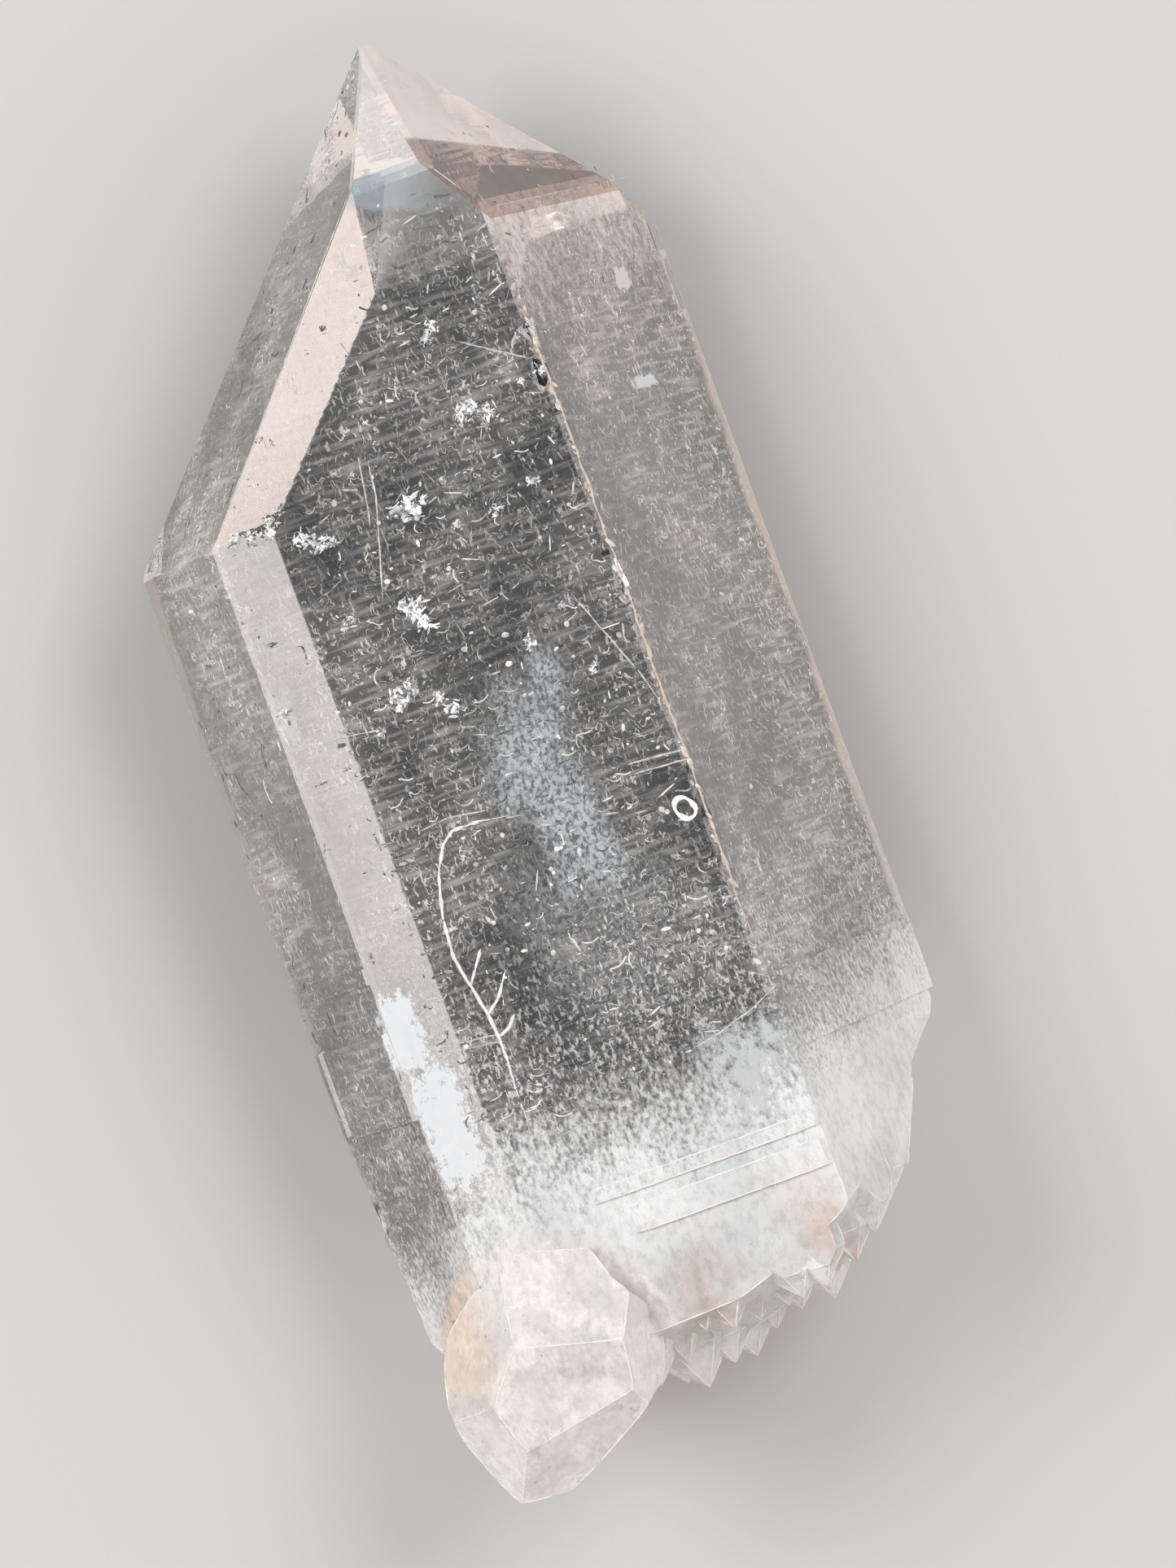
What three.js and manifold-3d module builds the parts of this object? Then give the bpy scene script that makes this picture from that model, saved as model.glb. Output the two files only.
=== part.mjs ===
// A clear quartz crystal whose broken base has healed over with small points, and the short
// crystal that grew onto its foot. It lies on its back prism face. Millimetres, +Z up, and +X
// runs along the long axis towards the tip.

import * as THREE from "three";
import { mergeVertices } from "three/addons/utils/BufferGeometryUtils.js";
import Module from "manifold-3d";

const wasm = await Module();
wasm.setup();

// Widths of four of the six prism faces, seen with the tip up. The other two follow, because
// neighbouring faces of quartz always meet at 120 degrees.
const FRONT_WIDTH = 11.0;
const RIGHT_WIDTH = 9.5;
const BACK_RIGHT_WIDTH = 3.4;
const LEFT_WIDTH = 4.8;

// The tip, given from the front left prism edge and the front face.
const TIP_ACROSS = 9.2;
const TIP_BEHIND_FRONT = 3.6;
const TIP_WEAR = 0.14;

// How far behind the tip each termination face ends on its prism face.
const LEFT_SHOULDER = 12.9;
const BACK_LEFT_SHOULDER = 12.6;
const RIGHT_SHOULDER = 6.2;
const BACK_RIGHT_SHOULDER = 7.7;
const FRONT_SHOULDER = 4.3;
const BACK_SHOULDER = 6.9;

// Length of the plain prism before its ends are cut.
const PRISM_LENGTH = 44;

// A rhombohedral face of quartz rises this much along the axis for each millimetre inward.
const RHOMB_RISE = 1.27;

// Where the healed foot ends, as [y, distance back from the tip]. It reaches this far at
// FOOT_REACH behind the front face, and falls short of it by these leans for each millimetre
// from there to the front and to the back.
const FOOT_OUTLINE = [
  [4.5, 35.8], [1.8, 38.2], [-1.0, 39.9], [-4.1, 40.8], [-7.0, 40.7], [-9.6, 39.9],
  [-10.9, 39.2], [-11.8, 38.1], [-12.8, 36.9], [-13.6, 36.1], [-14.6, 35.2], [-15.5, 33.3],
  [-19.0, 26.0],
];
const FOOT_REACH = 3.4;
const FRONT_LEAN = 0.36;
const BACK_LEAN = 0.25;

// The small points that cover the foot stand in staggered rows, from this height and from this
// far inside the right edge. The lowest row stands out a little more than the highest one.
const LOWEST_ROW = 0.9;
const ROW_INSET = 0.6;
const ROW_STAGGER = 0.7;
const POINT_SPACING = 1.6;
const POINT_RADIUS = 1.2;
const POINT_LENGTH = 7;
const LOWEST_PROUD = 0.3;
const HIGHEST_PROUD = 0;
const BREAK_BEHIND_POINTS = 0.75;

// How unevenly the points are placed and sized: sideways, up, at the end, and as a share of the
// radius.
const POINT_SIDEWAYS = 0.3;
const POINT_UP = 0.25;
const POINT_JITTER = 0.4;
const RADIUS_CHANGE = 0.3;

// The two larger points at the foot's right and lower edge: [y, z, distance back from the tip
// to the point's end, radius].
const LARGE_POINTS = [
  [-9.7, 6.2, 40.05, 1.0],
  [-6.95, 5.6, 40.9, 1.5],
];

// Below this distance the left face leans in a little.
const LEFT_FOOT_START = 30.6;
const LEFT_FOOT_LEAN = 0.08;

// The short crystal on the foot: its place from the front left edge and the tip, how far its
// ridge stands above the front face, its turn against the main axis and its thickness.
const SIDE_CRYSTAL_BACK = 38.95;
const SIDE_CRYSTAL_ACROSS = 1.15;
const SIDE_CRYSTAL_RISE = 1.4;
const SIDE_CRYSTAL_TURN = THREE.MathUtils.degToRad(20);
const SIDE_CRYSTAL_THICKNESS = 6.2;

// Steps of angle that give each point and nick its own uneven place, end and size.
const PLACE_STEP = 12.9898;
const END_STEP = 7.31;
const RADIUS_STEP = 4.1;

const CUT_SIZE = 120;
const SIN_60 = Math.sin(Math.PI / 3);

const DEPTH = (RIGHT_WIDTH + BACK_RIGHT_WIDTH) * SIN_60;
const BACK_LEFT_WIDTH = RIGHT_WIDTH + BACK_RIGHT_WIDTH - LEFT_WIDTH;

// Prism edges in the cross-section, [y, z]. The front left edge is y = 0 and the back face z = 0.
const FRONT_LEFT = [0, DEPTH];
const FRONT_RIGHT = [-FRONT_WIDTH, DEPTH];
const RIGHT = [-FRONT_WIDTH - RIGHT_WIDTH / 2, DEPTH - RIGHT_WIDTH * SIN_60];
const BACK_RIGHT = [RIGHT[0] + BACK_RIGHT_WIDTH / 2, 0];
const LEFT = [LEFT_WIDTH / 2, DEPTH - LEFT_WIDTH * SIN_60];
const BACK_LEFT = [LEFT[0] - BACK_LEFT_WIDTH / 2, 0];
const PRISM_CORNERS = [BACK_RIGHT, RIGHT, FRONT_RIGHT, FRONT_LEFT, LEFT, BACK_LEFT];
const PRISM_MIDDLE = new THREE.Vector2(-FRONT_WIDTH / 2, DEPTH / 2);
const TIP = new THREE.Vector3(0, -TIP_ACROSS, DEPTH - TIP_BEHIND_FRONT);

// Outline of the short crystal from the photograph's side, [right, up] from its middle.
const SIDE_OUTLINE = [
  [-0.68, 3.62], [1.05, 3.71], [1.68, 2.9], [3.2, 1.68], [3.26, 0.0], [2.68, -1.0],
  [1.36, -2.6], [0.52, -3.48], [-0.93, -3.86], [-1.7, -3.1], [-2.66, -1.95], [-3.05, -1.12],
  [-3.2, -0.1], [-3.16, 0.92], [-2.62, 1.95], [-1.95, 2.83], [-1.2, 3.46],
];

// How deep a plate reaches into the crystal, and how far its sides slope for its height.
const PLATE_ROOT = 0.3;
const PLATE_SLOPE = 1.5;

// Shallow growth plates. Each lies on the prism face between two edges, from one part of that
// face's width to another and from start to end behind the tip, and stands up by its height.
const PLATES = [
  { edges: [FRONT_LEFT, FRONT_RIGHT], from: 0.36, to: 1, start: 34.3, end: 34.7, height: 0.1 },
  { edges: [FRONT_LEFT, FRONT_RIGHT], from: 0.44, to: 1, start: 35.1, end: 35.9, height: 0.14 },
  { edges: [LEFT, FRONT_LEFT], from: 0, to: 1, start: 27.9, end: 30.6, height: 0.12 },
  { edges: [BACK_LEFT, LEFT], from: 0.3, to: 1, start: 27.9, end: 30.6, height: 0.12 },
  { edges: [LEFT, FRONT_LEFT], from: 0, to: 1, start: 25.9, end: 26.4, height: 0.06 },
  { edges: [FRONT_RIGHT, RIGHT], from: 0, to: 1, start: 30.1, end: 32.4, height: 0.1 },
];

// Steps where the right shoulder is chipped: [back from the tip, y, z, length, depth, breadth].
const SHOULDER_STEPS = [
  [8.0, -15.7, 3.0, 1.2, 0.7, 0.9],
  [9.7, -15.75, 2.9, 1.6, 0.4, 0.7],
];
const STEP_LEAN = THREE.MathUtils.degToRad(-30);

// Nicks along the front right edge, where it is ragged. They wander this far along and across it,
// vary this much in size and stand this far above the edge.
const NICK_COUNT = 20;
const FIRST_NICK = 8.5;
const LAST_NICK = 31;
const NICK_SIZE = 0.42;
const NICK_SHAPE = [1.6, 1, 0.8];
const NICK_ALONG = 0.4;
const NICK_ACROSS = 0.12;
const NICK_CHANGE = 0.45;
const NICK_LIFT = 0.16;

// Turns a closed three.js geometry into a solid that can be cut and joined.
function toSolid(geometry) {
  const bare = geometry.clone();
  bare.deleteAttribute("normal");
  bare.deleteAttribute("uv");
  const merged = mergeVertices(bare, 1e-4);
  return new wasm.Manifold(new wasm.Mesh({
    numProp: 3,
    vertProperties: new Float32Array(merged.attributes.position.array),
    triVerts: new Uint32Array(merged.index.array),
  }));
}

// Turns a solid back into a geometry with flat-shaded faces.
function toGeometry(solid) {
  const mesh = solid.getMesh();
  const geometry = new THREE.BufferGeometry();
  geometry.setAttribute("position", new THREE.BufferAttribute(mesh.vertProperties, 3));
  geometry.setIndex(new THREE.BufferAttribute(mesh.triVerts, 1));
  const flat = geometry.toNonIndexed();
  flat.computeVertexNormals();
  return flat;
}

// A fixed uneven number from -1 to 1 for a piece's number.
function uneven(index, step) {
  return Math.sin(index * step);
}

// A point on a prism edge at a distance back from the tip.
function onEdge([y, z], back) {
  return new THREE.Vector3(-back, y, z);
}

// Takes away all of a solid that lies in front of a plane, on the side its normal points to.
function cutByPlane(solid, point, normal) {
  const block = new THREE.BoxGeometry(CUT_SIZE, CUT_SIZE, CUT_SIZE);
  block.translate(0, 0, CUT_SIZE / 2);
  const turn = new THREE.Quaternion().setFromUnitVectors(
    new THREE.Vector3(0, 0, 1), normal.clone().normalize());
  block.applyQuaternion(turn);
  block.translate(point.x, point.y, point.z);
  return solid.subtract(toSolid(block));
}

// The normal of the plane through three points, turned to point along a given direction.
function planeNormal(a, b, c, towards) {
  const normal = new THREE.Vector3().crossVectors(b.clone().sub(a), c.clone().sub(a)).normalize();
  return normal.dot(towards) < 0 ? normal.negate() : normal;
}

// An outline drawn in [y, z] and drawn out along the axis from one distance to another.
function alongAxis(outline, from, to) {
  const shape = new THREE.Shape(outline.map(([y, z]) => new THREE.Vector2(y, z)));
  const body = new THREE.ExtrudeGeometry(shape, { depth: to - from, bevelEnabled: false });
  const axes = new THREE.Matrix4().makeBasis(
    new THREE.Vector3(0, 1, 0), new THREE.Vector3(0, 0, 1), new THREE.Vector3(1, 0, 0));
  body.applyMatrix4(axes);
  body.translate(-to, 0, 0);
  return toSolid(body);
}

// The prism with its six termination faces. Four of them meet at the tip, and the narrow front
// and back ones lean at the rhombohedral angle.
function mainCrystal() {
  let crystal = alongAxis(PRISM_CORNERS, -1, PRISM_LENGTH);
  const forward = new THREE.Vector3(1, 0, 0);
  const meetingAtTip = [
    [FRONT_LEFT, LEFT, LEFT_SHOULDER],
    [LEFT, BACK_LEFT, BACK_LEFT_SHOULDER],
    [FRONT_RIGHT, RIGHT, RIGHT_SHOULDER],
    [RIGHT, BACK_RIGHT, BACK_RIGHT_SHOULDER],
  ];
  for (const [first, second, shoulder] of meetingAtTip) {
    const a = onEdge(first, shoulder);
    const b = onEdge(second, shoulder);
    crystal = cutByPlane(crystal, a, planeNormal(a, b, TIP, forward));
  }
  const rise = new THREE.Vector3(1, 0, RHOMB_RISE);
  crystal = cutByPlane(crystal, onEdge(FRONT_LEFT, FRONT_SHOULDER), rise);
  crystal = cutByPlane(crystal, onEdge(BACK_LEFT, BACK_SHOULDER), rise.clone().setZ(-RHOMB_RISE));
  const leftFoot = new THREE.Vector3(-LEFT_FOOT_LEAN, SIN_60, 0.5);
  crystal = cutByPlane(crystal, onEdge(LEFT, LEFT_FOOT_START), leftFoot);
  return cutByPlane(crystal, new THREE.Vector3(-TIP_WEAR, 0, 0), forward);
}

// How far behind the tip the foot ends at a place in the cross-section.
function footEnd(y, z) {
  const next = FOOT_OUTLINE.findIndex(([corner]) => corner < y);
  const [y1, end1] = FOOT_OUTLINE[next - 1];
  const [y2, end2] = FOOT_OUTLINE[next];
  const reach = THREE.MathUtils.mapLinear(y, y1, y2, end1, end2);
  const behind = DEPTH - z - FOOT_REACH;
  return reach - (behind < 0 ? -behind * FRONT_LEAN : behind * BACK_LEAN);
}

// The old break across the foot, a little short of the points that healed it. Its two slopes
// meet in a blunt ridge.
function breakFoot(crystal) {
  const outline = new THREE.Shape();
  const beyondTip = -5;
  outline.moveTo(beyondTip, FOOT_OUTLINE[0][0]);
  for (const [y, end] of FOOT_OUTLINE) {
    outline.lineTo(end - BREAK_BEHIND_POINTS, y);
  }
  outline.lineTo(beyondTip, FOOT_OUTLINE.at(-1)[0]);
  let broken = crystal;
  for (const lean of [FRONT_LEAN, -BACK_LEAN]) {
    const plan = new THREE.ExtrudeGeometry(outline, { depth: 4 * DEPTH, bevelEnabled: false });
    plan.rotateY(Math.PI);
    plan.translate(0, 0, 2 * DEPTH);
    plan.applyMatrix4(new THREE.Matrix4().makeShear(0, 0, 0, 0, lean, 0));
    plan.translate(0, 0, DEPTH - FOOT_REACH);
    broken = broken.intersect(toSolid(plan));
  }
  return broken;
}

// A six-sided point with its tip at a distance behind the tip, running up into the foot.
function healedPoint(y, z, end, radius) {
  const profile = [
    new THREE.Vector2(0, 0),
    new THREE.Vector2(radius, RHOMB_RISE * SIN_60 * radius),
    new THREE.Vector2(radius, POINT_LENGTH),
    new THREE.Vector2(0, POINT_LENGTH),
  ];
  const point = new THREE.LatheGeometry(profile, 6);
  point.rotateY(Math.PI / 6);
  point.rotateZ(-Math.PI / 2);
  point.translate(-end, y, z);
  return toSolid(point);
}

// The points that cover the foot, kept inside the prism that they grew on.
function healedFoot() {
  let foot = null;
  let index = 0;
  for (let z = LOWEST_ROW; z < DEPTH; z += POINT_SPACING * SIN_60) {
    const proud = THREE.MathUtils.lerp(LOWEST_PROUD, HIGHEST_PROUD, z / DEPTH);
    for (let y = RIGHT[0] + ROW_INSET; y < LEFT[0]; y += POINT_SPACING) {
      index += 1;
      const wander = uneven(index, PLACE_STEP);
      const across = y + (index % 2) * ROW_STAGGER + POINT_SIDEWAYS * wander;
      const radius = POINT_RADIUS * (1 + RADIUS_CHANGE * uneven(index, RADIUS_STEP));
      const end = footEnd(across, z) + POINT_JITTER * uneven(index, END_STEP) + proud;
      const point = healedPoint(across, z + POINT_UP * wander, end, radius);
      foot = foot ? foot.add(point) : point;
    }
  }
  for (const large of LARGE_POINTS) {
    foot = foot.add(healedPoint(...large));
  }
  return foot.intersect(alongAxis(PRISM_CORNERS, LEFT_SHOULDER, PRISM_LENGTH));
}

// The short crystal: its outline drawn out through its thickness, then cut by its own faces.
function sideCrystal() {
  const shape = new THREE.Shape(SIDE_OUTLINE.map(([right, up]) => new THREE.Vector2(right, up)));
  const top = SIDE_CRYSTAL_RISE;
  const bottom = top - SIDE_CRYSTAL_THICKNESS;
  const body = new THREE.ExtrudeGeometry(
    shape, { depth: SIDE_CRYSTAL_THICKNESS, bevelEnabled: false });
  body.translate(0, 0, bottom);
  // Each face: a point on it and its normal, as [right, up, towards the viewer].
  const faces = [
    [[-1.1, 0.85, top], [-0.03, 0.36, 0.93]],
    [[-1.1, 0.85, top], [0.02, -0.2, 0.98]],
    [[-1.15, 0.8, top], [-0.74, 0.12, 0.66]],
    [[2.1, 1.0, top - 0.1], [0.86, 0.08, 0.5]],
    [[-0.4, -1.95, top - 0.55], [0.3, -0.62, 0.72]],
    [[-0.95, -2.0, top - 0.6], [-0.5, -0.52, 0.69]],
    [[-2.9, -1.6, -0.6], [-0.8, -0.5, -0.33]],
    [[0.2, -3.5, -0.9], [0.1, -0.85, -0.52]],
    [[2.4, -1.4, -0.8], [0.72, -0.52, -0.46]],
    [[3.1, 0.8, -1.0], [0.85, 0.1, -0.52]],
    [[-3.15, 0.4, -0.9], [-0.88, 0.08, -0.47]],
  ];
  let crystal = toSolid(body);
  for (const [point, normal] of faces) {
    crystal = cutByPlane(crystal, new THREE.Vector3(...point), new THREE.Vector3(...normal));
  }
  const placed = toGeometry(crystal);
  const axes = new THREE.Matrix4().makeBasis(
    new THREE.Vector3(0, -1, 0), new THREE.Vector3(1, 0, 0), new THREE.Vector3(0, 0, 1));
  placed.applyMatrix4(axes);
  placed.rotateZ(-SIDE_CRYSTAL_TURN);
  placed.translate(-SIDE_CRYSTAL_BACK, -SIDE_CRYSTAL_ACROSS, DEPTH);
  return toSolid(placed);
}

// A thin growth plate on a prism face, with sloping sides.
function growthPlate({ edges, from, to, start, end, height }) {
  const [a, b] = edges.map(([y, z]) => new THREE.Vector2(y, z));
  const along = b.clone().sub(a);
  const out = new THREE.Vector2(along.y, -along.x).normalize();
  if (out.dot(a.clone().sub(PRISM_MIDDLE)) < 0) {
    out.negate();
  }
  const side = along.clone().normalize().multiplyScalar(height * PLATE_SLOPE);
  const first = a.clone().addScaledVector(along, from);
  const last = a.clone().addScaledVector(along, to);
  const outline = [
    first.clone().addScaledVector(out, -PLATE_ROOT),
    last.clone().addScaledVector(out, -PLATE_ROOT),
    last.clone(),
    last.clone().sub(side).addScaledVector(out, height),
    first.clone().add(side).addScaledVector(out, height),
    first.clone(),
  ];
  return alongAxis(outline.map((point) => [point.x, point.y]), start, end);
}

// A box-shaped bite out of the right shoulder, square to the right prism face.
function shoulderStep([back, y, z, length, depth, breadth]) {
  const bite = new THREE.BoxGeometry(length, depth, breadth);
  bite.rotateX(STEP_LEAN);
  bite.translate(-back, y, z);
  return toSolid(bite);
}

// A nick in the front right edge. Its place and turn vary along the edge by a fixed rule.
function edgeNick(index) {
  const wander = uneven(index, PLACE_STEP);
  const even = THREE.MathUtils.lerp(FIRST_NICK, LAST_NICK, index / (NICK_COUNT - 1));
  const back = even + NICK_ALONG * wander;
  const size = NICK_SIZE * (1 + NICK_CHANGE * uneven(index, END_STEP));
  const nick = new THREE.OctahedronGeometry(size);
  nick.scale(...NICK_SHAPE);
  nick.rotateZ(wander);
  nick.rotateX(index);
  nick.translate(-back, FRONT_RIGHT[0] + NICK_ACROSS * wander, FRONT_RIGHT[1] + NICK_LIFT);
  return toSolid(nick);
}

function quartzCrystal() {
  let crystal = breakFoot(mainCrystal()).add(healedFoot());
  for (const plate of PLATES) {
    crystal = crystal.add(growthPlate(plate));
  }
  for (const step of SHOULDER_STEPS) {
    crystal = crystal.subtract(shoulderStep(step));
  }
  for (let index = 0; index < NICK_COUNT; index += 1) {
    crystal = crystal.subtract(edgeNick(index));
  }
  return crystal.add(sideCrystal());
}

const quartz = new THREE.MeshStandardMaterial({
  name: "clear_quartz",
  color: 0xdfe4e6,
  roughness: 0.05,
  metalness: 0,
  transparent: true,
  opacity: 0.5,
});

const crystal = new THREE.Mesh(toGeometry(quartzCrystal()), quartz);
crystal.name = "quartz_crystal";
crystal.geometry.computeBoundingBox();
const middle = crystal.geometry.boundingBox.getCenter(new THREE.Vector3());
crystal.position.set(-middle.x, -middle.y, 0);

const part = new THREE.Group();
part.add(crystal);
export default part;
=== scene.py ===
import logging
import math
from dataclasses import dataclass
from enum import Enum
from typing import Any

import bmesh
import bpy
from bpy.types import Material, Node, NodeSocket as Socket, NodeTree, Object
from mathutils import Matrix, Vector


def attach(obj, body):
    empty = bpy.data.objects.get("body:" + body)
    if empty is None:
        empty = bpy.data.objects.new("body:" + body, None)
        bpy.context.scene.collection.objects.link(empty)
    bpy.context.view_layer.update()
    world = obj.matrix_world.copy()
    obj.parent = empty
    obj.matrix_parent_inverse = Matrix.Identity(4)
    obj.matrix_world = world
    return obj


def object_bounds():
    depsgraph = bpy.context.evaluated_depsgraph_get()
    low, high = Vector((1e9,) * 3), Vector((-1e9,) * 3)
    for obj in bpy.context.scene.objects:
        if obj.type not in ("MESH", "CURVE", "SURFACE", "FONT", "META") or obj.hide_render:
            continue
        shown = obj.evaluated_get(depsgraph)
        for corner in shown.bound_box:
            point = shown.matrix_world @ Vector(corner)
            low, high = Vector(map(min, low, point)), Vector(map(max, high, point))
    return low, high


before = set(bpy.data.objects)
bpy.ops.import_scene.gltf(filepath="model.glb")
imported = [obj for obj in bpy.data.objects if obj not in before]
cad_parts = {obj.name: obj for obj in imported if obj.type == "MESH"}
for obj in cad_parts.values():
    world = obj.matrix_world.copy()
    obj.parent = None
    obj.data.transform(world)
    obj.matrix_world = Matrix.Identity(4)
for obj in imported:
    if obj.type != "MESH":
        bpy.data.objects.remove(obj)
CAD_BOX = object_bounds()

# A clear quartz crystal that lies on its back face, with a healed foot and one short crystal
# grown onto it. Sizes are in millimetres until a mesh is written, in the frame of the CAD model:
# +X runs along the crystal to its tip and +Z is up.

log = logging.getLogger("quartz")

Pair = tuple[float, float]
Triple = tuple[float, float, float]
Line = tuple[Pair, ...]
Inputs = dict[str | int, Any] | None

MM = 0.001
QUARTZ_IOR = 1.544

# The front prism face lies this high, and this is where the tip and the front left prism edge
# are in the CAD model's frame.
FRONT_HEIGHT = 11.172
TIP_X = 21.269
FRONT_LEFT_Y = 6.674

# The photograph's picture of the front face: its scale, the place of the tip and of the front
# left edge along and across the axis, and the turn of the axis.
PIXELS_PER_MM = 42.0
TIP_PIXEL = 184.3
EDGE_PIXEL = 13.0
AXIS_TURN = math.radians(20.0)

# The photograph's camera stands over this point, this far above the front face.
EYE = Vector((-1.791, -1.336))
EYE_ABOVE_FRONT = 220.0
PHOTO_SIZE = (1445, 1927)


def photo_point(x: float, y: float, height: float = FRONT_HEIGHT) -> Vector:
    """Find the point of the model that shows at a pixel of the photograph.

    Args:
        x: Pixels from the photograph's left side.
        y: Pixels from the photograph's top.
        height: Height of the point above the floor, in millimetres.

    Returns:
        The point in millimetres.
    """
    along = (math.sin(AXIS_TURN) * x + math.cos(AXIS_TURN) * y - TIP_PIXEL) / PIXELS_PER_MM
    across = (math.cos(AXIS_TURN) * x - math.sin(AXIS_TURN) * y - EDGE_PIXEL) / PIXELS_PER_MM
    flat = Vector((TIP_X - along, FRONT_LEFT_Y - across))
    spread = 1.0 + (FRONT_HEIGHT - height) / EYE_ABOVE_FRONT
    flat = EYE + (flat - EYE) * spread
    return Vector((flat.x, flat.y, height))


def linear(hex_value: str) -> tuple[float, float, float, float]:
    """Turn an sRGB hex value into linear light.

    Args:
        hex_value: A colour such as "#dfe4e6".

    Returns:
        Red, green, blue and an alpha of 1.
    """
    parts = [int(hex_value[i:i + 2], 16) / 255 for i in (1, 3, 5)]
    red, green, blue = (
        c / 12.92 if c <= 0.04045 else ((c + 0.055) / 1.055) ** 2.4 for c in parts
    )
    return red, green, blue, 1.0


def add_node(tree: NodeTree, kind: str, inputs: Inputs = None, **settings: Any) -> Node:
    """Add a node with its settings and links.

    Args:
        tree: The node tree.
        kind: The node's type name.
        inputs: Values or output sockets, by the name or number of the input.
        settings: Properties of the node.

    Returns:
        The new node.
    """
    node = tree.nodes.new(kind)
    for name, value in settings.items():
        setattr(node, name, value)
    for key, value in (inputs or {}).items():
        open_inputs = [s for s in node.inputs if s.enabled]
        socket = open_inputs[key] if isinstance(key, int) else next(
            s for s in open_inputs if s.name == key)
        if isinstance(value, Socket):
            tree.links.new(value, socket)
        else:
            socket.default_value = value
    return node


def result(node: Node, key: str | int = 0) -> Socket:
    """Return a node's output socket by its name or number, among those in use."""
    outputs = [s for s in node.outputs if s.enabled]
    return outputs[key] if isinstance(key, int) else next(s for s in outputs if s.name == key)


def plain_mesh(name: str, points: list[Vector], edges: list[tuple[int, int]],
               faces: list[tuple[int, ...]]) -> Object:
    """Make an object from points given in millimetres, still in millimetres.

    Args:
        name: Name of the object.
        points: The points.
        edges: Pairs of point numbers.
        faces: Tuples of point numbers.

    Returns:
        The new object, linked to the scene.
    """
    mesh = bpy.data.meshes.new(name)
    mesh.from_pydata([tuple(p) for p in points], edges, faces)
    piece = bpy.data.objects.new(name, mesh)
    bpy.context.scene.collection.objects.link(piece)
    return piece


def grown(seed: Object, tree: NodeTree, values: dict[str, Any]) -> Object:
    """Run a geometry tree on a seed object and keep the result as a plain mesh in metres.

    Args:
        seed: The object that the tree starts from. It is removed.
        tree: The geometry node tree.
        values: The tree's inputs by name.

    Returns:
        A new object at the origin with the grown mesh.
    """
    name = seed.name
    modifier = seed.modifiers.new("grow", "NODES")
    modifier.node_group = tree
    for item in tree.interface.items_tree:
        if item.item_type == "SOCKET" and item.in_out == "INPUT" and item.name in values:
            modifier[item.identifier] = values[item.name]
    ready = seed.evaluated_get(bpy.context.evaluated_depsgraph_get())
    mesh = bpy.data.meshes.new_from_object(ready)
    mesh.transform(Matrix.Scale(MM, 4))
    seed.modifiers.remove(modifier)
    bpy.data.objects.remove(seed)
    piece = bpy.data.objects.new(name, mesh)
    mesh.name = name
    bpy.context.scene.collection.objects.link(piece)
    return piece


def finish_piece(piece: Object) -> None:
    """Let a piece move with the crystal and report it."""
    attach(piece, "root")
    log.info("%s: %d faces", piece.name, len(piece.data.polygons))


class Face(Enum):
    """A growth face of the crystal: a point on it and its outward normal, in millimetres."""

    FRONT = ((0.0, FRONT_LEFT_Y, FRONT_HEIGHT), (0.0, 0.0, 1.0))
    RIGHT = ((0.0, -4.326, FRONT_HEIGHT), (0.0, -0.8660, 0.5))
    LEFT = ((0.0, FRONT_LEFT_Y, FRONT_HEIGHT), (0.0, 0.8660, 0.5))
    FRONT_POINT = ((16.969, FRONT_LEFT_Y, FRONT_HEIGHT), (0.6187, 0.0, 0.7857))
    LEFT_POINT = ((8.369, FRONT_LEFT_Y, FRONT_HEIGHT), (0.6020, 0.6915, 0.3992))
    RIGHT_POINT = ((15.069, -4.326, FRONT_HEIGHT), (0.4791, -0.7602, 0.4389))


class TreeBuilder:
    """Builds a node tree from nodes and plain arithmetic."""

    def __init__(self, tree: NodeTree) -> None:
        """Keep the tree."""
        self.tree = tree

    def add(self, kind: str, inputs: Inputs = None, **settings: Any) -> Node:
        """Add a node to this tree, as add_node does."""
        return add_node(self.tree, kind, inputs, **settings)

    def get(self, kind: str, inputs: Inputs = None, **settings: Any) -> Socket:
        """Add a node and return its first output in use."""
        return result(self.add(kind, inputs, **settings))

    def math(self, operation: str, *values: Any) -> Socket:
        """Return the result of one piece of arithmetic."""
        return self.get("ShaderNodeMath", dict(enumerate(values)), operation=operation)

    def vector(self, operation: str, *values: Any) -> Socket:
        """Return the number or vector that one piece of vector arithmetic gives."""
        return self.get("ShaderNodeVectorMath", dict(enumerate(values)), operation=operation)

    def product(self, *values: Any) -> Socket:
        """Return the product of several values."""
        whole = values[0]
        for value in values[1:]:
            whole = self.math("MULTIPLY", whole, value)
        return whole

    def blend(self, first: Any, second: str, share: Any) -> Socket:
        """Return a colour blended with an sRGB hex value by a share."""
        return self.get("ShaderNodeMix", {
            "Factor": share, "A": first, "B": linear(second)}, data_type="RGBA")

    def ramp(self, value: Any, start: float, end: float, low: float = 0.0, high: float = 1.0,
             smooth: bool = False) -> Socket:
        """Move a value from one range to another and keep it inside.

        Args:
            value: The value.
            start: Where the ramp starts.
            end: Where the ramp ends.
            low: Result at the start.
            high: Result at the end.
            smooth: Whether the ramp eases in and out.

        Returns:
            The moved value.
        """
        return self.get("ShaderNodeMapRange", {
            "Value": value, "From Min": start, "From Max": end, "To Min": low, "To Max": high},
            interpolation_type="SMOOTHSTEP" if smooth else "LINEAR")


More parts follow.
